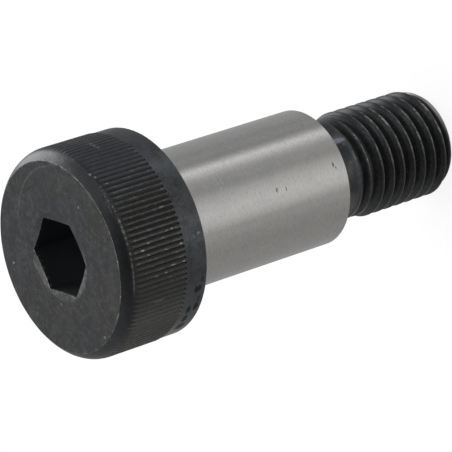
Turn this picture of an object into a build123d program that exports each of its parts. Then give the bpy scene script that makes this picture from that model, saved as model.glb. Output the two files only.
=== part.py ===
from build123d import *
import math
import os

# A knurled-head shoulder bolt with a hexagon socket, in millimetres. It stands upright on the
# flat end of its thread. The origin is the centre of that end, +Z runs up the axis to the
# head, and one corner of the socket points along +X.

# Head: across the knurl, with a rounded front edge and a plain band that lies a little lower
head_diameter = 30.0
head_height = 13.95
head_round_width = 1.4
head_round_length = 2.6
band_step = 0.12
band_length = 3.65
band_edge_radius = 0.35

# Straight knurl on the head
knurl_pitch = 0.8
knurl_depth = 0.28
knurl_angle = 90.0
knurl_bevel = 0.12

# Hexagon socket, its pilot drill, and the countersink that clears the hexagon's corners
key_size = 10.0
key_clearance = 0.3
socket_depth = 9.0
corner_clearance = 0.37
socket_mouth_angle = 160.0
drill_undersize = 0.2
drill_tip_angle = 118.0
socket_turn = 0.0

# Ground shoulder, and the relief groove that lets the grinding wheel run out under the head
shoulder_diameter = 19.96
shoulder_length = 30.05
shoulder_chamfer = 0.12
relief_length = 2.5
relief_depth = 0.27
relief_run_in = 0.8
relief_fillet = 1.0

# Rolled thread. The neck keeps the size that the thread is rolled from, and so do the crests
# of the last turns before it.
thread_diameter = 15.88
thread_pitch = 2.0
thread_angle = 60.0
thread_depth = 1.23
thread_root_width = 0.33
thread_start_angle = 82.0
thread_length = 22.0
neck_step = 0.49
neck_length = 3.4
neck_fillet = 0.8
low_crest_length = 3.6
runout_length = 1.0
end_chamfer_width = 0.84
end_chamfer_length = 1.45

# How far a cutter starts outside the metal that it cuts, and how blunt a drill's point is
cutter_reach = 0.4
cone_point = 0.05

# Radii and heights that follow
head_radius = head_diameter / 2
face_radius = head_radius - head_round_width
band_radius = head_radius - band_step
shoulder_radius = shoulder_diameter / 2
crest_radius = thread_diameter / 2
root_radius = crest_radius - thread_depth
neck_radius = crest_radius - neck_step
shoulder_bottom = thread_length
shoulder_top = shoulder_bottom + shoulder_length
head_top = shoulder_top + head_height
knurl_bottom = shoulder_top + band_length
fillet_bottom = shoulder_bottom - neck_fillet
runout_top = shoulder_bottom - neck_length
low_crests_bottom = runout_top - low_crest_length

ON_BASE = Align.CENTER, Align.CENTER, Align.MIN
UNDER_TOP = Align.CENTER, Align.CENTER, Align.MAX


def turned_blank():
    """Shoulder and head as turned: half of the section, taken once around the axis."""
    relief_radius = shoulder_radius - relief_depth
    relief_bottom = shoulder_top - relief_length
    round_start = head_top - head_round_length
    with BuildPart() as body:
        with BuildSketch(Plane.XZ):
            with BuildLine():
                Line((0, fillet_bottom), (neck_radius, fillet_bottom))
                TangentArc(
                    (neck_radius, fillet_bottom),
                    (neck_radius + neck_fillet, shoulder_bottom),
                    tangent=(0, 1),
                )
                Polyline(
                    (neck_radius + neck_fillet, shoulder_bottom),
                    (shoulder_radius - shoulder_chamfer, shoulder_bottom),
                    (shoulder_radius, shoulder_bottom + shoulder_chamfer),
                    (shoulder_radius, relief_bottom),
                    (relief_radius, relief_bottom + relief_run_in),
                    (relief_radius, shoulder_top - relief_fillet),
                )
                TangentArc(
                    (relief_radius, shoulder_top - relief_fillet),
                    (relief_radius + relief_fillet, shoulder_top),
                    tangent=(0, 1),
                )
                Line(
                    (relief_radius + relief_fillet, shoulder_top),
                    (band_radius - band_edge_radius, shoulder_top),
                )
                TangentArc(
                    (band_radius - band_edge_radius, shoulder_top),
                    (band_radius, shoulder_top + band_edge_radius),
                    tangent=(1, 0),
                )
                Polyline(
                    (band_radius, shoulder_top + band_edge_radius),
                    (band_radius, knurl_bottom),
                    (head_radius, knurl_bottom + knurl_bevel),
                    (head_radius, round_start),
                )
                TangentArc((head_radius, round_start), (face_radius, head_top), tangent=(0, 1))
                Polyline((face_radius, head_top), (0, head_top), (0, fillet_bottom))
            make_face()
        revolve(axis=Axis.Z)
    return body.part


def knurl_grooves():
    """The V grooves of the straight knurl, which run out through the rounded edge of the head."""
    count = round(math.pi * head_diameter / knurl_pitch)
    valley = head_radius - knurl_depth
    rim = head_radius + cutter_reach
    half_width = (rim - valley) * math.tan(math.radians(knurl_angle / 2))
    section = Polyline((valley, 0), (rim, -half_width), (rim, half_width), close=True)
    groove = extrude(Pos(Z=knurl_bottom) * make_face(section), head_top - knurl_bottom)
    return [place * groove for place in PolarLocations(0, count)]


def socket():
    """The hexagon hole, with the cone of its pilot drill below and a countersunk mouth above."""
    apothem = (key_size + key_clearance) / 2
    mouth = apothem / math.cos(math.pi / 6) + corner_clearance
    mouth_depth = mouth / math.tan(math.radians(socket_mouth_angle / 2))
    drill = (key_size - drill_undersize) / 2
    tip_depth = drill / math.tan(math.radians(drill_tip_angle / 2))
    floor = Pos(Z=head_top - socket_depth)
    hexagon = RegularPolygon(apothem, 6, major_radius=False, rotation=socket_turn)
    tip = Cone(cone_point, drill, tip_depth, align=UNDER_TOP)
    countersink = Cone(cone_point, mouth, mouth_depth, align=UNDER_TOP)
    return extrude(floor * hexagon, socket_depth) + floor * tip + Pos(Z=head_top) * countersink


def groove_section(at, along):
    """Section of the thread groove, flat at the root, with its middle on the path."""
    depth = thread_depth + cutter_reach
    half_root = thread_root_width / 2
    half_rim = half_root + depth * math.tan(math.radians(thread_angle / 2))
    corners = Polyline(
        (0, -half_root), (depth, -half_rim), (depth, half_rim), (0, half_root), close=True
    )
    return Plane(origin=at, x_dir=(at.X, at.Y, 0), z_dir=along) * make_face(corners)


def thread_grooves():
    """The right-hand groove: full depth from below the end, then out to nothing at the neck."""
    start = -thread_pitch
    full_top = runout_top - runout_length
    rise = neck_radius - root_radius + thread_root_width / 2
    slope = math.degrees(math.atan2(rise, runout_length))
    first_turn = Rot(Z=thread_start_angle)
    last_turn = Rot(Z=360 * (full_top - start) / thread_pitch)
    path = Helix(thread_pitch, full_top - start, root_radius, center=(0, 0, start))
    full = sweep(groove_section(path @ 0, path % 0), path=path, is_frenet=True)
    fade = Helix(thread_pitch, runout_length, root_radius, cone_angle=slope)
    fading = sweep(groove_section(fade @ 0, path % 0), path=fade, is_frenet=True)
    return [first_turn * full, first_turn * Pos(Z=full_top) * last_turn * fading]


def end_chamfer():
    """The ring of metal that is turned off around the end of the thread."""
    end_radius = crest_radius - end_chamfer_width
    slope = end_chamfer_width / end_chamfer_length
    far = end_chamfer_length + cutter_reach
    section = Polyline(
        (end_radius - slope * cutter_reach, -cutter_reach),
        (end_radius + slope * far, far),
        (2 * crest_radius, far),
        (2 * crest_radius, -cutter_reach),
        close=True,
    )
    return revolve(Plane.XZ * make_face(section), Axis.Z)


def threaded_end():
    """The threaded length, and the neck turned to size above the full crests."""
    rod = Cylinder(crest_radius, fillet_bottom, align=ON_BASE)
    for groove in thread_grooves():
        rod = rod - groove
    rod = rod - end_chamfer()
    width = 4 * crest_radius
    around_neck = Box(width, width, shoulder_bottom, align=ON_BASE)
    around_neck = around_neck - Cylinder(neck_radius, shoulder_bottom, align=ON_BASE)
    return rod - Pos(Z=low_crests_bottom) * around_neck


bolt = turned_blank() - socket() - knurl_grooves() + threaded_end()

os.makedirs("parts", exist_ok=True)
export_step(bolt.solid(), "parts/shoulder_bolt.step")
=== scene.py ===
import math

import bpy
from mathutils import Matrix, Vector

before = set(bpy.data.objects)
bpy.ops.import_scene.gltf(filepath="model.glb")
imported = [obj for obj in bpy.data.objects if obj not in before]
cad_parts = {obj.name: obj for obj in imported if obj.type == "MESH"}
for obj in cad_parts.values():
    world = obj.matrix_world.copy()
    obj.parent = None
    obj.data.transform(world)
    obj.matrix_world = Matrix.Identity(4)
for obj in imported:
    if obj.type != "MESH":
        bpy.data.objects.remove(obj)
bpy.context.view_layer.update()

# The camera looks down on the head at 36 degrees from a little under half a metre, through a long
# lens, and is rolled so that the standing bolt lies across the picture from head to thread.
camera = bpy.data.objects.new("camera", bpy.data.cameras.new("camera"))
bpy.context.scene.collection.objects.link(camera)
bpy.context.scene.camera = camera
camera_right = Vector((-0.38736, -0.50387, -0.77206))
camera_up = Vector((0.91496, -0.31288, -0.25485))
camera_back = Vector((-0.11315, -0.80512, 0.58222))
camera.matrix_world = Matrix.LocRotScale(
    Vector((-0.05852, -0.39467, 0.32357)),
    Matrix((camera_right, camera_up, camera_back)).transposed(),
    None,
)
camera.data.sensor_width = 36.0
camera.data.lens = 277.8

# The studio is a pale tent with a window and upright gaps in it, drawn around the bolt by
# direction. The ground shoulder mirrors its low part as long light and dark bands, and the
# camera sees plain white in its place.
world = bpy.data.worlds.new("tent")
bpy.context.scene.world = world
world.use_nodes = True
world.node_tree.nodes.clear()


def put(tree, kind, values=(), **settings):
    """Adds a node to a tree. Each value is a number, a colour, or a socket to link."""
    node = tree.nodes.new("ShaderNode" + kind)
    for name, setting in settings.items():
        setattr(node, name, setting)
    for socket, value in dict(values).items():
        if isinstance(value, bpy.types.NodeSocket):
            tree.links.new(value, node.inputs[socket])
        else:
            node.inputs[socket].default_value = value
    return node


def maths(tree, operation, *values):
    """One step of arithmetic on numbers."""
    return put(tree, "Math", enumerate(values), operation=operation).outputs[0]


def ease(tree, value, start, end):
    """Goes softly from 0 to 1 while the value goes from start to end."""
    sockets = {"Value": value, "From Min": start, "From Max": end}
    return put(tree, "MapRange", sockets, interpolation_type="SMOOTHSTEP").outputs["Result"]


def blend(tree, share, first, second):
    """The first number or colour, turning into the second as the share goes from 0 to 1."""
    if isinstance(first, tuple) or getattr(first, "type", "") == "RGBA":
        return put(tree, "Mix", {0: share, 6: first, 7: second}, data_type="RGBA").outputs[2]
    return put(tree, "Mix", {0: share, 2: first, 3: second}, data_type="FLOAT").outputs[0]


def levels_around(tree, bearing, levels):
    """How bright the tent is at each bearing, from pairs of a bearing in degrees and a level."""
    share = maths(tree, "MULTIPLY_ADD", bearing, 1 / 360, 0.5)
    ramp = put(tree, "ValToRGB", {"Fac": share})
    stops = ramp.color_ramp.elements
    for degrees, level in levels[1:-1]:
        stops.new((degrees + 180) / 360).color = (level, level, level, 1)
    stops[0].color = (levels[0][1], levels[0][1], levels[0][1], 1)
    stops[-1].color = (levels[-1][1], levels[-1][1], levels[-1][1], 1)
    return ramp.outputs["Color"]


tree = world.node_tree
direction = put(tree, "TexCoord").outputs["Generated"]
across, along, upward = put(tree, "SeparateXYZ", {"Vector": direction}).outputs
bearing = maths(tree, "MULTIPLY", maths(tree, "ARCTAN2", along, across), 180 / math.pi)
low_levels = (
    (-180, 0.455), (-166, 0.49), (-154, 0.52), (-146, 0.60), (-139, 0.57), (-130, 0.80),
    (-122, 0.96), (-108, 1.04), (-94, 0.91), (-82, 0.74), (-76, 0.62), (-70, 0.52),
    (-62, 0.56), (-53, 0.58), (-46, 0.71), (-40, 0.95), (-34, 1.20), (-30, 1.20),
    (-24, 0.75), (-18, 0.50), (-13, 0.45), (-5, 0.53), (3, 0.50), (10, 0.50),
    (18, 0.57), (34, 0.65), (54, 0.71), (76, 0.51), (92, 0.49), (112, 0.65),
    (146, 0.52), (180, 0.455),
)
high_levels = (
    (-180, 0.21), (-145, 0.13), (-125, 0.06), (-98, 0.10), (-72, 0.30), (-49, 0.58),
    (-27, 0.46), (-8, 0.41), (10, 0.46), (40, 0.58), (60, 0.67), (104, 0.67),
    (124, 0.52), (141, 0.46), (157, 0.37), (172, 0.28), (180, 0.21),
)
low = levels_around(tree, bearing, low_levels)
high = levels_around(tree, bearing, high_levels)
walls = blend(tree, ease(tree, upward, -0.35, 0.10), low, high)
roof_light = (0.17, 0.17, 0.17, 1)
walls = blend(tree, ease(tree, upward, 0.78, 0.95), walls, roof_light)
window_bearing = 36
window_upward = 0.12
window_light = (4.2, 4.2, 4.2, 1)
beside_window = maths(tree, "ABSOLUTE", maths(tree, "SUBTRACT", bearing, window_bearing))
above_window = maths(tree, "ABSOLUTE", maths(tree, "SUBTRACT", upward, window_upward))
window_width = ease(tree, beside_window, 26, 18)
window_height = ease(tree, above_window, 0.43, 0.30)
window = maths(tree, "MULTIPLY", window_width, window_height)
daylight = blend(tree, window, walls, window_light)
to_camera = put(tree, "LightPath").outputs["Is Camera Ray"]
white = (1.0, 1.0, 1.0, 1)
tent = put(tree, "Background", {"Color": blend(tree, to_camera, daylight, white)})
put(tree, "OutputWorld", {"Surface": tent.outputs["Background"]})

# A white table. The tent lights it, and it glows by itself to the camera alone, so that it is
# white around the bolt and keeps the bolt's soft shadow.
table = bpy.data.objects.new("table", bpy.data.meshes.new("table"))
bpy.context.scene.collection.objects.link(table)
half_table = 2.0
table.data.from_pydata(
    [(-half_table, -half_table, 0), (half_table, -half_table, 0),
     (half_table, half_table, 0), (-half_table, half_table, 0)],
    [],
    [(0, 1, 2, 3)],
)
table.visible_glossy = False
paper = bpy.data.materials.new("white paper")
paper.use_nodes = True
paper.node_tree.nodes.clear()
tree = paper.node_tree
paper_white = (0.8, 0.8, 0.8, 1)
glow_strength = 1.18
glow_part = 0.75
sheet = put(tree, "BsdfDiffuse", {"Color": paper_white})
glow = put(tree, "Emission", {"Strength": glow_strength})
to_camera = put(tree, "LightPath").outputs["Is Camera Ray"]
glow_share = maths(tree, "MULTIPLY", to_camera, glow_part)
sheet_and_glow = {0: glow_share, 1: sheet.outputs["BSDF"], 2: glow.outputs["Emission"]}
paper_shader = put(tree, "MixShader", sheet_and_glow)
put(tree, "OutputMaterial", {"Surface": paper_shader.outputs["Shader"]})
table.data.materials.append(paper)

# Above the table hangs one large soft lamp, half a metre wide. It gives the bolt's shadow its
# direction, to the front and left.
lamp = bpy.data.objects.new("soft lamp", bpy.data.lights.new("soft lamp", "AREA"))
bpy.context.scene.collection.objects.link(lamp)
lamp.data.size = 0.5
lamp.data.energy = 2.0
lamp.location = (0.25, 0.25, 0.8)
lamp.rotation_euler = lamp.location.to_track_quat("Z", "Y").to_euler()

# The bolt is one piece of hardened alloy steel, forged, turned, ground and thread-rolled. Places
# on it are counted in millimetres: the height from the thread's end, the radius, and the turn
# around the axis in degrees from +X.
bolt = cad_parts["shoulder_bolt"]
steel = bpy.data.materials.new("steel")
steel.use_nodes = True
tree = steel.node_tree
tree.nodes.clear()
millimetres = 1000.0
metres = put(tree, "TexCoord").outputs["Object"]
place = put(
    tree, "VectorMath", {0: metres, "Scale": millimetres}, operation="SCALE"
).outputs["Vector"]
x, y, height = put(tree, "SeparateXYZ", {"Vector": place}).outputs
flat = put(tree, "CombineXYZ", {"X": x, "Y": y}).outputs["Vector"]
radius = put(tree, "VectorMath", {0: flat}, operation="LENGTH").outputs["Value"]
turn = maths(tree, "MULTIPLY", maths(tree, "ARCTAN2", y, x), 180 / math.pi)


def grain(tree, place, stretch, detail=2.0, roughness=0.5):
    """Irregular patches, as many in a millimetre along x, y and z as stretch says."""
    moved = put(tree, "VectorMath", {0: place, 1: stretch}, operation="MULTIPLY").outputs["Vector"]
    values = {"Vector": moved, "Scale": 1.0, "Detail": detail, "Roughness": roughness}
    return put(tree, "TexNoise", values).outputs["Fac"]


def near(tree, value, middle, half_width):
    """1 where the value is at the middle, falling to 0 at the half width away."""
    away = maths(tree, "ABSOLUTE", maths(tree, "SUBTRACT", value, middle))
    return ease(tree, away, half_width, half_width * 0.3)


def both(tree, *masks):
    """Where all the masks are."""
    result = masks[0]
    for mask in masks[1:]:
        result = maths(tree, "MULTIPLY", result, mask)
    return result


def either(tree, *masks):
    """Where any of the masks is."""
    result = masks[0]
    for mask in masks[1:]:
        result = maths(tree, "MAXIMUM", result, mask)
    return result


def toward(degrees):
    """How far the surface lies toward one side of the bolt: 1 there, 0 a quarter turn away."""
    side = math.radians(degrees)
    part_x = maths(tree, "MULTIPLY", x, math.cos(side))
    return maths(
        tree, "DIVIDE", maths(tree, "MULTIPLY_ADD", y, math.sin(side), part_x), radius
    )


def faint(mask, part):
    """The mask, only as strong as the part says."""
    return maths(tree, "MULTIPLY", mask, part)


# A mark is one small spot, stain or scratch, at two coordinates of the surface, with its own
# half widths and ragged edges. It is placed many times, in steel and oxide.
mark_group = bpy.data.node_groups.new("mark", "ShaderNodeTree")
for name in (
    "First", "Second", "At First", "At Second", "Half First", "Half Second", "Ragged", "Strength"
):
    mark_group.interface.new_socket(name, in_out="INPUT", socket_type="NodeSocketFloat")
mark_group.interface.new_socket("Mask", in_out="OUTPUT", socket_type="NodeSocketFloat")
given = mark_group.nodes.new("NodeGroupInput").outputs
squares = []
for axis in ("First", "Second"):
    away = maths(mark_group, "SUBTRACT", given[axis], given["At " + axis])
    away = maths(mark_group, "DIVIDE", away, given["Half " + axis])
    squares.append(maths(mark_group, "MULTIPLY", away, away))
away = maths(mark_group, "SQRT", maths(mark_group, "ADD", *squares))
spot = ease(mark_group, maths(mark_group, "ADD", away, given["Ragged"]), 1.1, 0.5)
mask = maths(mark_group, "MULTIPLY", spot, given["Strength"])
mark_group.links.new(mask, mark_group.nodes.new("NodeGroupOutput").inputs["Mask"])
ragged = maths(tree, "MULTIPLY_ADD", grain(tree, place, (4.0, 4.0, 4.0), 3.0), 1.2, -0.6)


def marks(first, second, spots):
    """Marks at (first, second, half first, half second, strength) on the steel."""
    found = []
    for spot in spots:
        group = tree.nodes.new("ShaderNodeGroup")
        group.node_tree = mark_group
        for name, source in (("First", first), ("Second", second), ("Ragged", ragged)):
            tree.links.new(source, group.inputs[name])
        names = ("At First", "At Second", "Half First", "Half Second", "Strength")
        for name, value in zip(names, spot):
            group.inputs[name].default_value = value
        found.append(group.outputs["Mask"])
    return either(tree, *found)


# Black oxide covers the forged and rolled surfaces: a thin satin skin of the steel's own metal,
# blue-black with brownish patches, cloudy and slightly grainy.
blue_black = (0.055, 0.058, 0.061, 1)
brown_black = (0.060, 0.059, 0.054, 1)
cloud_grey = (0.080, 0.083, 0.087, 1)
patch_grey = (0.094, 0.096, 0.098, 1)
grain_black = (0.034, 0.036, 0.037, 1)
knurl_bottom = 55.70
slow_patches = grain(tree, place, (0.17, 0.17, 0.17), 2.0)
clouds = grain(tree, place, (0.45, 0.45, 0.45), 4.0, 0.6)
small_patches = grain(tree, place, (1.4, 1.4, 1.4), 4.0, 0.62)
fine_grain = grain(tree, place, (6.0, 6.0, 6.0), 3.0, 0.6)
above_band = ease(tree, height, knurl_bottom - 0.10, knurl_bottom + 0.10)
brown = ease(tree, maths(tree, "MULTIPLY_ADD", toward(-150), 0.10, slow_patches), 0.46, 0.64)
brown = both(tree, brown, maths(tree, "MULTIPLY_ADD", above_band, 0.7, 0.3))
oxide_and_painted_light = blend(tree, brown, blue_black, brown_black)
oxide_and_painted_light = blend(tree, ease(tree, clouds, 0.44, 0.70), oxide_and_painted_light, cloud_grey)
oxide_and_painted_light = blend(tree, ease(tree, small_patches, 0.46, 0.70), oxide_and_painted_light, patch_grey)
oxide_and_painted_light = blend(tree, ease(tree, fine_grain, 0.50, 0.36), oxide_and_painted_light, grain_black)
oxide_roughness = blend(tree, small_patches, 0.27, 0.44)
oxide_height = faint(fine_grain, 0.005)
oxide_metal = 0.85

# The plain band at the back of the head is turned smooth, and bluer, with darker clouds, and a
# lighter grey stripe down one side of it is a painted highlight. The neck above the thread is
# smooth too.
head_bottom = 52.0
shoulder_bottom = 22.0
thread_top = 18.2
band_blue = (0.080, 0.089, 0.102, 1)
band_highlight_grey = (0.120, 0.122, 0.124, 1)
on_band = both(
    tree,
    ease(tree, height, knurl_bottom + 0.02, knurl_bottom - 0.04),
    ease(tree, height, head_bottom - 0.1, head_bottom),
)
on_neck = both(
    tree,
    ease(tree, height, shoulder_bottom + 0.1, shoulder_bottom),
    ease(tree, height, thread_top, thread_top + 0.3),
)
blue_band = both(
    tree,
    on_band,
    maths(tree, "MULTIPLY_ADD", ease(tree, clouds, 0.42, 0.58), 0.7, 0.15),
    maths(tree, "MULTIPLY_ADD", ease(tree, toward(-110), 0.60, 0.90), -0.55, 1.0),
)
# Painted highlight: a lighter grey stripe down one side of the band.
band_painted_highlight = both(tree, on_band, ease(tree, toward(-156), 0.88, 0.98))
oxide_and_painted_light = blend(tree, blue_band, oxide_and_painted_light, band_blue)
oxide_and_painted_light = blend(tree, faint(band_painted_highlight, 0.4), oxide_and_painted_light, band_highlight_grey)
band_roughness = maths(tree, "MULTIPLY_ADD", ease(tree, toward(-20), 0.70, 0.97), 0.16, 0.30)
oxide_roughness = blend(tree, on_band, oxide_roughness, band_roughness)
oxide_roughness = blend(tree, on_neck, oxide_roughness, 0.24)

# The knurl is rolled into the head, so the oxide is coarser there. It is brownish on one side of
# the bolt and bluish on another, and so is the turned, rounded edge in front of it. These side
# tints are partly the oxide's own and partly painted light and shade for how light falls on those
# sides. In the grooves, painted light lifts the shade on one side and painted shade deepens it on
# another.
knurl_top = 64.6
knurl_brown_tint_and_light = (0.064, 0.063, 0.058, 1)
knurl_blue_tint_and_sheen = (0.062, 0.067, 0.077, 1)
painted_light_grey = (0.088, 0.090, 0.088, 1)
painted_shade_black = (0.026, 0.028, 0.031, 1)
rounding_blue = (0.080, 0.086, 0.095, 1)
in_knurl = both(
    tree,
    ease(tree, height, knurl_bottom, knurl_bottom + 0.06),
    ease(tree, height, knurl_top + 0.4, knurl_top),
    ease(tree, radius, 14.5, 14.7),
)
in_groove = both(tree, in_knurl, ease(tree, radius, 14.93, 14.80))
# Partly painted light: the brown and blue sides are also tinted for how light falls on them.
brown_tint_and_light_side = both(tree, in_knurl, ease(tree, toward(-150), 0.30, 0.85))
blue_tint_and_sheen_side = both(tree, in_knurl, ease(tree, toward(-42), 0.78, 0.92))
# Painted light and painted shade: the grooves are lightened on one side and darkened on another.
painted_light_groove = both(tree, in_groove, ease(tree, toward(-100), 0.78, 0.92))
painted_shade_groove = both(tree, in_groove, blue_tint_and_sheen_side)
on_rounding = both(
    tree,
    ease(tree, height, knurl_top - 0.1, knurl_top + 0.2),
    ease(tree, radius, 13.5, 13.65),
    ease(tree, toward(-30), 0.99, 0.95),
)
oxide_and_painted_light = blend(tree, faint(brown_tint_and_light_side, 0.7), oxide_and_painted_light, knurl_brown_tint_and_light)
oxide_and_painted_light = blend(tree, faint(painted_light_groove, 0.42), oxide_and_painted_light, painted_light_grey)
oxide_and_painted_light = blend(tree, faint(blue_tint_and_sheen_side, 0.6), oxide_and_painted_light, knurl_blue_tint_and_sheen)
oxide_and_painted_light = blend(tree, faint(painted_shade_groove, 0.42), oxide_and_painted_light, painted_shade_black)
oxide_and_painted_light = blend(tree, faint(on_rounding, 0.5), oxide_and_painted_light, rounding_blue)
knurl_roughness = maths(tree, "MULTIPLY_ADD", ease(tree, toward(-172), 0.75, 0.98), -0.14, 0.48)
oxide_roughness = blend(tree, in_knurl, oxide_roughness, knurl_roughness)
oxide_metal = blend(tree, painted_light_groove, oxide_metal, 0.50)

# The hexagon socket is broached into the head. Its walls are lightened with painted light, a dull
# bluish grey that stands in for light deep in the hole: most of it on one wall, least on the wall
# that catches the most light, and less of it toward the mouth.
socket_black = (0.0, 0.0, 0.0, 1)
painted_light_blue = (0.098, 0.107, 0.124, 1)
in_socket = both(
    tree,
    ease(tree, radius, 6.15, 6.05),
    ease(tree, height, 65.78, 65.72),
    ease(tree, height, 50, 52),
)
painted_light_share = blend(tree, ease(tree, toward(0), -0.2, 0.2), 0.52, 0.68)
painted_light_share = blend(tree, ease(tree, toward(90), 0.84, 0.88), painted_light_share, 1.0)
painted_light_fade = maths(tree, "MULTIPLY_ADD", ease(tree, height, 58.6, 65.8), -0.68, 1.0)
# Painted light: the walls' colour is lifted deep in the hole and on the dimmer walls.
socket_painted_light = blend(tree, both(tree, painted_light_share, painted_light_fade), socket_black, painted_light_blue)
oxide_and_painted_light = blend(tree, in_socket, oxide_and_painted_light, socket_painted_light)
oxide_roughness = blend(tree, in_socket, oxide_roughness, 0.65)
oxide_metal = blend(tree, in_socket, oxide_metal, 0.0)

# The knurl's ridges have worn through to bright steel in places, most of all at their top ends and
# on the side that was rubbed. Bright dots at their bottom ends, where each ridge steps down to the
# band, are painted highlights.
ridge_count = 118
ridge_place = maths(tree, "MULTIPLY_ADD", turn, ridge_count / 360, 200.0)
ridge = maths(tree, "FRACT", ridge_place)
ridge_number = maths(tree, "FLOOR", ridge_place)
ridge_kind = put(
    tree, "TexWhiteNoise", {"W": ridge_number}, noise_dimensions="1D"
).outputs["Value"]
in_head = ease(tree, height, head_bottom - 0.1, head_bottom)
on_top = both(tree, near(tree, ridge, 0.5, 0.30), ease(tree, radius, 14.88, 14.96))
on_knurl = both(
    tree,
    on_top,
    ease(tree, height, knurl_bottom - 0.04, knurl_bottom + 0.04),
    ease(tree, height, knurl_top, knurl_top - 0.3),
)
rubbed_side = either(
    tree,
    ease(tree, toward(-97), 0.72, 0.97),
    ease(tree, grain(tree, place, (0.1, 0.1, 0.1)), 0.56, 0.70),
)
streaks = grain(tree, place, (2.6, 2.6, 1.3), 4.0, 0.65)
rub = maths(tree, "MULTIPLY_ADD", ease(tree, streaks, 0.52, 0.70), 0.30, 0.015)
rub = maths(tree, "MULTIPLY_ADD", ridge_kind, 0.04, rub)
knurl_wear = both(tree, on_knurl, rubbed_side, rub)
dots = ease(tree, grain(tree, place, (3.4, 3.4, 3.4), 3.0, 0.6), 0.55, 0.63)
start_dots = both(tree, near(tree, height, knurl_top, 0.15), dots, in_head, rubbed_side)
# Painted highlights: bright steel dots at each ridge's bottom end.
painted_tip_highlights = both(
    tree,
    near(tree, height, knurl_bottom + 0.10, 0.15),
    near(tree, ridge, 0.5, 0.40),
    ease(tree, radius, 14.86, 14.92),
    ease(tree, grain(tree, place, (1.6, 1.6, 1.6), 3.0), 0.36, 0.56),
)
head_flakes = marks(
    turn,
    height,
    (
        (-59.3, 64.66, 1.0, 0.22, 0.60), (-62.3, 64.40, 1.3, 0.18, 0.45),
        (-68.6, 63.60, 0.5, 0.25, 0.40), (-90.5, 64.61, 2.2, 0.16, 0.90),
        (-95.2, 64.62, 3.0, 0.18, 1.00), (-99.6, 64.60, 1.4, 0.16, 1.00),
        (-102.8, 64.60, 1.2, 0.14, 0.80), (-107.9, 64.58, 1.2, 0.16, 0.90),
        (-110.8, 64.60, 1.0, 0.13, 0.80), (-114.6, 64.61, 1.5, 0.14, 0.80),
        (-123.5, 64.63, 7.5, 0.10, 0.75), (-108.4, 62.65, 0.5, 0.35, 0.80),
        (-105.5, 61.50, 0.5, 0.30, 0.70), (-111.4, 61.80, 0.5, 0.25, 0.50),
        (-101.9, 57.20, 0.5, 0.35, 0.60), (-110.8, 56.25, 0.6, 0.30, 0.85),
        (-120.5, 58.00, 0.5, 0.45, 0.60), (-120.4, 56.20, 0.5, 0.30, 0.60),
        (-123.4, 59.30, 0.5, 0.30, 0.50), (-123.7, 61.00, 0.5, 0.40, 0.40),
        (-138.6, 60.50, 0.5, 1.20, 0.25), (-89.7, 57.60, 0.5, 0.45, 0.60),
        (-81.5, 65.05, 5.0, 0.06, 0.35), (-76.2, 64.80, 5.0, 0.08, 0.35),
        (-37.3, 59.90, 7.0, 0.30, 0.28), (-36.2, 64.40, 1.5, 0.20, 0.12),
        (-44.2, 64.66, 2.0, 0.12, 0.15),
    ),
)
ridge_share = maths(tree, "MULTIPLY_ADD", near(tree, ridge, 0.5, 0.45), 0.75, 0.25)
head_flakes = both(tree, head_flakes, ridge_share, in_head)

# The rim of the head's face and the edges of the plain band are worn too, in short flakes, where
# the bolt has lain or been gripped.
face_radius = 13.6
head_top = 66.0
off_rim = maths(
    tree,
    "ADD",
    maths(tree, "ABSOLUTE", maths(tree, "SUBTRACT", radius, face_radius)),
    maths(tree, "SUBTRACT", head_top, height),
)
rim_wear = both(
    tree,
    ease(tree, off_rim, 0.12, 0.03),
    ease(tree, grain(tree, place, (0.9, 0.9, 0.9), 5.0, 0.7), 0.44, 0.62),
)
rim_flakes = marks(
    turn,
    off_rim,
    (
        (-41.8, 0.0, 2.2, 0.16, 0.9), (-44.8, 0.05, 1.5, 0.14, 0.8),
        (-54.7, 0.0, 4.0, 0.12, 0.8), (-60.6, 0.0, 3.5, 0.14, 0.9),
        (-68.0, 0.0, 8.0, 0.11, 0.6), (-88.0, 0.0, 5.0, 0.10, 0.5),
        (-107.0, 0.0, 12.0, 0.12, 0.9), (-128.0, 0.0, 10.0, 0.12, 0.8),
        (-146.3, 0.0, 5.0, 0.17, 1.0), (-33.0, 0.1, 5.0, 0.25, 0.25),
    ),
)
rim_flakes = both(tree, rim_flakes, maths(tree, "MULTIPLY_ADD", dots, 0.8, 0.2))
band_flakes = marks(
    turn, height, ((-108.6, 52.98, 0.8, 0.35, 0.25), (-109.5, 53.90, 1.2, 0.10, 0.20))
)
band_edge = both(
    tree,
    ease(tree, height, head_bottom + 0.45, head_bottom + 0.15),
    ease(tree, radius, 14.3, 14.6),
    ease(tree, grain(tree, place, (0.7, 0.7, 0.7), 4.0, 0.6), 0.42, 0.60),
    in_head,
)

# The socket's mouth is countersunk, and burred and scraped bright by keys, most on two sides. A
# few specks of bare steel lie on the face around it.
half_x = faint(x, 0.866)
half_y = faint(y, 0.5)
from_middle = either(
    tree,
    maths(tree, "ABSOLUTE", y),
    maths(tree, "ABSOLUTE", maths(tree, "ADD", half_x, half_y)),
    maths(tree, "ABSOLUTE", maths(tree, "SUBTRACT", half_x, half_y)),
)
on_socket_rim = both(tree, near(tree, from_middle, 5.18, 0.15), ease(tree, height, 65.3, 65.6))
burr_side = either(tree, ease(tree, y, 3.5, 5.0), ease(tree, x, -3.0, -4.5))
burrs = both(
    tree,
    on_socket_rim,
    ease(tree, grain(tree, place, (2.4, 2.4, 2.4), 3.0, 0.6), 0.52, 0.64),
    maths(tree, "MULTIPLY_ADD", burr_side, 0.50, 0.10),
)
in_mouth = both(
    tree,
    ease(tree, height, 65.995, 65.96),
    ease(tree, radius, 6.40, 5.60),
    ease(tree, height, 65.60, 65.75),
)
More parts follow.
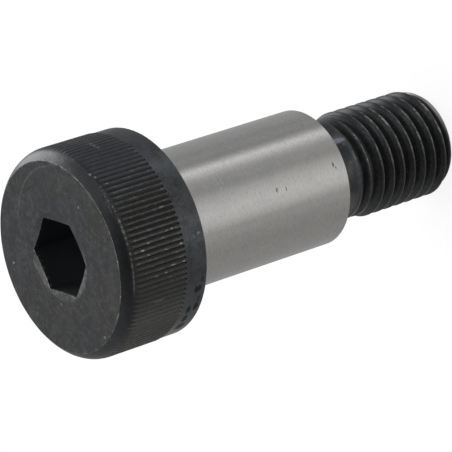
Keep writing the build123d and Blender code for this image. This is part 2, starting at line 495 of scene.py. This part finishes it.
scraped = either(
    tree,
    faint(ease(tree, toward(213), 0.50, 0.98), 0.34),
    faint(ease(tree, toward(98), 0.70, 0.97), 0.06),
)
mouth_patches = maths(tree, "MULTIPLY_ADD", ease(tree, small_patches, 0.40, 0.62), 0.8, 0.40)
mouth_wear = both(tree, in_mouth, scraped, mouth_patches)
face_specks = marks(
    x,
    y,
    (
        (4.30, -9.04, 0.22, 0.2, 0.55), (2.94, 11.12, 0.18, 0.3, 0.6),
        (-4.89, 10.53, 0.4, 0.12, 0.35), (-5.67, 3.98, 0.25, 0.2, 0.30),
        (-12.71, -2.79, 0.25, 0.3, 0.40), (0.98, 6.2, 0.9, 0.35, 0.14),
        (10.07, -9.13, 0.4, 0.2, 0.3), (-1.5, 5.45, 1.2, 0.16, 0.25),
        (1.9, 5.6, 0.5, 0.2, 0.15),
    ),
)

# Something ring-shaped has left the trace of an arc on the face, a little off its middle. It is
# a faint scrape in the oxide.
arc_x = maths(tree, "SUBTRACT", x, 2.1)
arc_y = maths(tree, "ADD", y, 2.6)
arc_y_squared = maths(tree, "MULTIPLY", arc_y, arc_y)
arc_radius = maths(tree, "SQRT", maths(tree, "MULTIPLY_ADD", arc_x, arc_x, arc_y_squared))
arc = both(
    tree, near(tree, arc_radius, 10.0, 0.22), ease(tree, x, 5.0, 8.5), ease(tree, y, -7.5, -5.0)
)
arc = both(tree, arc, maths(tree, "MULTIPLY_ADD", small_patches, 0.30, -0.05))
on_face = ease(tree, height, head_top - 0.10, head_top - 0.03)
face_marks = both(tree, either(tree, face_specks, arc), on_face)

# The thread is rolled. Its crests are round, and rubbed bright where a nut or a box has touched
# them. The last turns are lower, where the blank was too thin to fill them.
pitch = 2.0
thread_start = 82
full_crest = 7.94
low_crest_radius = 7.445
end_radius = 7.10
chamfer_slope = 0.84 / 1.45
in_thread = ease(tree, height, 21.8, 21.7)
turns_up = maths(tree, "MULTIPLY_ADD", height, 1 / pitch, thread_start / 360 + 10)
phase = maths(tree, "FRACT", maths(tree, "MULTIPLY_ADD", turn, -1 / 360, turns_up))
from_crest = maths(tree, "ABSOLUTE", maths(tree, "MULTIPLY_ADD", phase, 2.0, -1.0))
chamfer_radius = maths(tree, "MULTIPLY_ADD", height, chamfer_slope, end_radius)
below_crest = maths(tree, "SUBTRACT", maths(tree, "MINIMUM", chamfer_radius, full_crest), radius)
crest = both(tree, ease(tree, below_crest, 0.14, 0.02), in_thread)
low_crest = both(
    tree,
    near(tree, radius, low_crest_radius, 0.045),
    ease(tree, height, 18.3, 17.9),
    ease(tree, height, 14.6, 14.8),
)
thread_grain = grain(tree, place, (2.2, 2.2, 3.6), 4.0, 0.65)
crest_patches = ease(tree, grain(tree, place, (0.9, 0.9, 1.5), 4.0, 0.68), 0.47, 0.68)
crest_side = either(
    tree,
    ease(tree, toward(-72), 0.72, 0.97),
    ease(tree, grain(tree, place, (0.08, 0.08, 0.08)), 0.54, 0.66),
)
crest_rub = maths(tree, "MULTIPLY_ADD", both(tree, crest_patches, crest_side), 0.75, 0.02)
crest_wear = both(tree, crest, crest_rub)
low_wear = both(tree, low_crest, ease(tree, from_crest, 0.16, 0.04), crest_rub)
# Painted highlight: bright steel along the last crest's edge at the thread's end, mostly on one
# side, stands in for the light a rounded crest catches.
end_crest_painted_highlight = both(
    tree,
    ease(tree, height, 1.1, 0.8),
    ease(tree, below_crest, 0.42, 0.20),
    maths(tree, "MULTIPLY_ADD", ease(tree, toward(-50), 0.62, 0.92), 0.85, 0.05),
)
end_rim = both(tree, ease(tree, height, 0.55, 0.25), ease(tree, toward(-74), 0.86, 0.97))
low_drop = maths(tree, "POWER", maths(tree, "MINIMUM", from_crest, 0.42), 2.0)
toward_crest = maths(tree, "MAXIMUM", maths(tree, "MULTIPLY_ADD", below_crest, -1 / 0.65, 1.0), 0.0)
crest_round = faint(maths(tree, "POWER", toward_crest, 2.0), -0.30)
rolled_height = both(tree, in_thread, maths(tree, "MULTIPLY_ADD", thread_grain, 0.012, crest_round))
thread_height = maths(tree, "MULTIPLY_ADD", low_crest, faint(low_drop, -0.9), rolled_height)

# The oxide on the thread and the neck is lighter on the flanks where it is thin, and black and
# smooth in patches on the neck. The thread is darkened with painted shade on two sides. The neck
# carries painted reflections: darker patches where it mirrors dark bands, and lighter ones and one
# flash of bluish light where it mirrors light bands.
flank_grey = (0.110, 0.115, 0.124, 1)
thread_shade_black = (0.034, 0.036, 0.038, 1)
neck_black = (0.028, 0.030, 0.033, 1)
painted_band_grey = (0.120, 0.116, 0.106, 1)
painted_flash_blue = (0.18, 0.205, 0.24, 1)
flank_light = both(
    tree,
    in_thread,
    ease(tree, radius, 7.20, 7.60),
    ease(tree, thread_grain, 0.44, 0.62),
    crest_side,
)
# Painted shade: the thread is darker on the side where the window's light falls, and a little on
# the far side.
thread_painted_shade = either(
    tree,
    faint(ease(tree, toward(-22), 0.62, 0.92), 0.82),
    faint(ease(tree, toward(-170), 0.80, 0.98), 0.35),
)
thread_metal = maths(tree, "MULTIPLY_ADD", ease(tree, toward(-22), 0.85, 0.98), 0.30, 0.55)
neck_grain = ease(tree, grain(tree, place, (0.5, 0.5, 0.5), 3.0), 0.56, 0.40)
# Painted shade: darker patches at three turns of the neck, where it mirrors dark bands.
neck_painted_dark_bands = marks(
    turn,
    height,
    ((-86.0, 19.6, 13.0, 1.8, 0.8), (-52.0, 19.6, 10.0, 1.5, 0.4), (-124.0, 19.6, 16.0, 1.8, 0.45)),
)
neck_grain_and_painted_shade = both(tree, on_neck, either(tree, faint(neck_grain, 0.7), neck_painted_dark_bands))
# Painted reflections: lighter grey patches and one bluish flash on the neck, where it mirrors light
# bands.
neck_painted_light_bands = marks(turn, height, ((-146.0, 19.8, 16.0, 1.8, 0.8), (-103.0, 19.6, 6.0, 1.3, 0.2)))
neck_painted_flash = marks(turn, height, ((-69.9, 19.3, 3.8, 1.6, 1.0), (-76.0, 18.7, 2.6, 0.3, 0.3)))
oxide_and_painted_light = blend(tree, faint(flank_light, 0.8), oxide_and_painted_light, flank_grey)
oxide_and_painted_light = blend(tree, both(tree, in_thread, thread_painted_shade), oxide_and_painted_light, thread_shade_black)
oxide_and_painted_light = blend(tree, neck_grain_and_painted_shade, oxide_and_painted_light, neck_black)
oxide_and_painted_light = blend(tree, both(tree, on_neck, neck_painted_light_bands), oxide_and_painted_light, painted_band_grey)
oxide_metal = blend(tree, in_thread, oxide_metal, thread_metal)

# Dark stains lie on the band at the back of the head, where something has dried on it. They are
# dull, and darker than the oxide.
stain_black = (0.003, 0.003, 0.004, 1)
stains = marks(
    turn,
    height,
    (
        (-139.9, 53.78, 2.5, 0.42, 0.62), (-139.5, 53.25, 2.8, 0.36, 0.62),
        (-146.5, 53.06, 2.8, 0.36, 0.35), (-153.2, 54.30, 3.4, 0.44, 0.62),
        (-152.3, 53.15, 3.6, 0.48, 0.62), (-160.8, 54.20, 3.6, 0.50, 0.60),
        (-168.6, 54.05, 4.2, 0.85, 0.50), (-134.2, 52.89, 2.4, 0.34, 0.42),
    ),
)
stains = both(tree, stains, on_band)

# The shoulder is ground to size after the heat treatment, so it is bare: pale steel with fine
# lines and short hairs around it, faint patches and a few pits.
ground_steel = (0.440, 0.437, 0.433, 1)
ground_warm = (0.446, 0.432, 0.407, 1)
ground_cloud = (0.400, 0.392, 0.392, 1)
hair_grey = (0.365, 0.360, 0.355, 1)
line_grey = (0.35, 0.345, 0.34, 1)
speck_light = (0.50, 0.495, 0.49, 1)
pit_dark = (0.09, 0.09, 0.09, 1)
nick_bright = (0.62, 0.61, 0.60, 1)
on_shoulder = both(
    tree,
    ease(tree, radius, 9.68, 9.71),
    ease(tree, height, 49.62, 49.55),
    ease(tree, height, shoulder_bottom - 0.03, shoulder_bottom),
)
lines = grain(tree, place, (0.25, 0.25, 9.0), 4.0, 0.7)
hairs = grain(tree, place, (1.6, 1.6, 5.0), 4.0, 0.65)
specks = grain(tree, place, (2.6, 2.6, 4.0), 3.0, 0.6)
warm = ease(tree, maths(tree, "MULTIPLY_ADD", toward(-124), 0.30, clouds), 0.62, 0.85)
pits = marks(
    turn,
    height,
    (
        (-101.1, 34.85, 1.9, 0.14, 0.9), (-99.8, 34.6, 0.8, 0.10, 0.6),
        (-102.2, 33.2, 2.0, 0.10, 0.7), (-95.3, 24.1, 2.3, 0.17, 0.9),
        (-98.4, 23.8, 1.2, 0.12, 0.7), (-84.0, 43.4, 0.9, 0.12, 0.4),
        (-52.5, 24.9, 3.4, 0.12, 0.35), (-72.0, 38.5, 0.6, 0.12, 0.4),
        (-82.0, 40.6, 0.6, 0.1, 0.3),
    ),
)
nicks = marks(
    turn,
    height,
    (
        (-85.3, 43.65, 1.3, 0.10, 0.6), (-79.8, 38.7, 1.4, 0.10, 0.5),
        (-60.2, 36.8, 1.2, 0.10, 0.4), (-146.0, 37.5, 0.8, 0.9, 0.25),
        (-120.0, 28.6, 0.9, 0.10, 0.4),
    ),
)
ground = blend(tree, warm, ground_steel, ground_warm)
ground = blend(tree, faint(ease(tree, clouds, 0.52, 0.36), 0.5), ground, ground_cloud)
ground = blend(tree, ease(tree, hairs, 0.46, 0.72), ground, hair_grey)
ground = blend(tree, faint(ease(tree, lines, 0.48, 0.70), 0.3), ground, line_grey)
ground = blend(tree, faint(ease(tree, specks, 0.56, 0.70), 0.6), ground, speck_light)
ground = blend(tree, pits, ground, pit_dark)
ground = blend(tree, nicks, ground, nick_bright)
ground_roughness = blend(tree, hairs, 0.09, 0.22)
ground_height = maths(
    tree,
    "ADD",
    maths(tree, "MULTIPLY_ADD", lines, 0.0020, faint(hairs, 0.0035)),
    faint(pits, -0.03),
)

# All of it is one skin of steel: oxide with its painted light and shade, with the stains on it, the
# wear through it and painted highlights in bright steel, and the bare ground shoulder between head
# and neck. Edges are broken by less than a tenth of a millimetre.
worn_and_highlight_steel = (0.42, 0.41, 0.395, 1)
broken_edge = 0.00008
# Painted highlights are mixed in with the wear here: the knurl's bottom tips and the thread's last
# crest edge.
wear_and_painted_highlights = either(
    tree,
    knurl_wear,
    faint(start_dots, 0.55),
    faint(painted_tip_highlights, 0.20),
    faint(rim_wear, 0.35),
    rim_flakes,
    head_flakes,
    band_flakes,
    faint(band_edge, 0.20),
    burrs,
    mouth_wear,
    face_marks,
    crest_wear,
    low_wear,
    end_crest_painted_highlight,
    faint(end_rim, 0.6),
)
skin = blend(tree, stains, oxide_and_painted_light, stain_black)
skin = blend(tree, wear_and_painted_highlights, skin, worn_and_highlight_steel)
# Painted reflection: the neck's bluish flash.
skin = blend(tree, neck_painted_flash, skin, painted_flash_blue)
colour = blend(tree, on_shoulder, skin, ground)
metal = either(tree, oxide_metal, wear_and_painted_highlights, on_shoulder, stains)
skin_roughness = blend(tree, stains, blend(tree, wear_and_painted_highlights, oxide_roughness, 0.36), 0.85)
roughness = blend(tree, on_shoulder, skin_roughness, ground_roughness)
skin_height = maths(tree, "ADD", oxide_height, thread_height)
surface_height = blend(tree, on_shoulder, skin_height, ground_height)
edges = put(tree, "Bevel", {"Radius": broken_edge}, samples=4).outputs["Normal"]
bump = put(tree, "Bump", {"Height": surface_height, "Distance": 0.001, "Normal": edges})
shader = put(
    tree,
    "BsdfPrincipled",
    {
        "Base Color": colour,
        "Roughness": roughness,
        "Metallic": metal,
        "Specular Tint": (0.7, 0.7, 0.7, 1),
        "Normal": bump.outputs["Normal"],
    },
)
put(tree, "OutputMaterial", {"Surface": shader.outputs["BSDF"]})
bolt.material_slots[0].material = steel

bpy.context.scene.view_settings.view_transform = "Standard"

bpy.context.view_layer.update()
